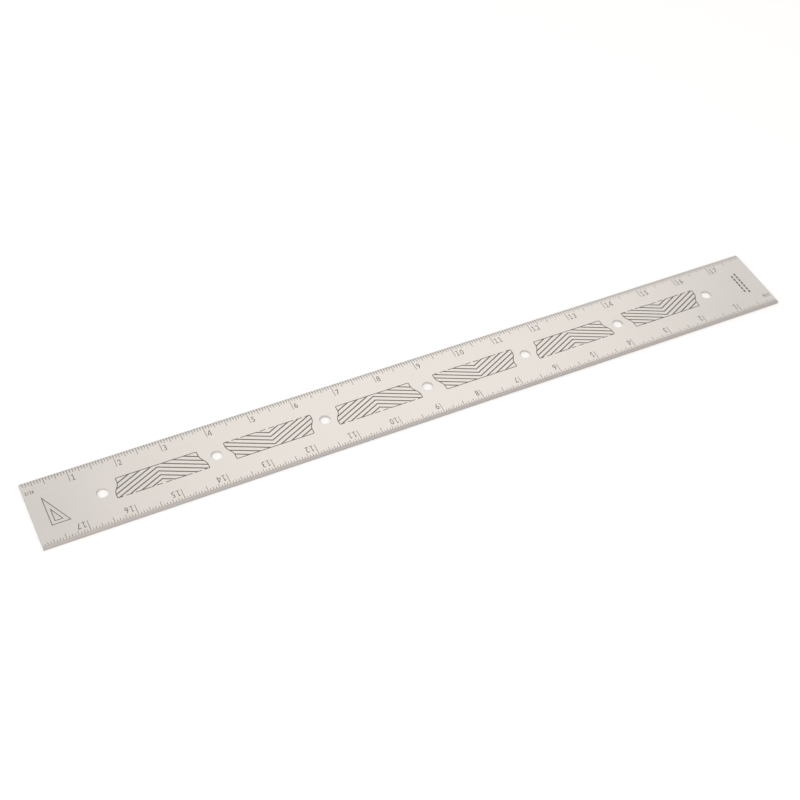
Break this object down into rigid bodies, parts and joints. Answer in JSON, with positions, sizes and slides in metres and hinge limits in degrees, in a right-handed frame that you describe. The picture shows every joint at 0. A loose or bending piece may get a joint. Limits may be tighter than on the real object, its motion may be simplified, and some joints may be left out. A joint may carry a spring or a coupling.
{
  "type": "steel ruler",
  "caption": "Flat steel ruler with chamfered long edges, inch scales along both sides, round holes on the centre line and engraved chevron panels between them.",
  "frame": {"origin": "middle of the underside, which is also on the axis of the middle hole", "axes": "+X along the blade, +Y across it, +Z out of the engraved face"},
  "size_m": [0.4572, 0.045, 0.0015],
  "materials": {
    "steel": "satin stainless steel with darker brown-grey engraved marks"
  },
  "bodies": {
    "root": {"ruler_blade": "steel"}
  },
  "joints": []
}
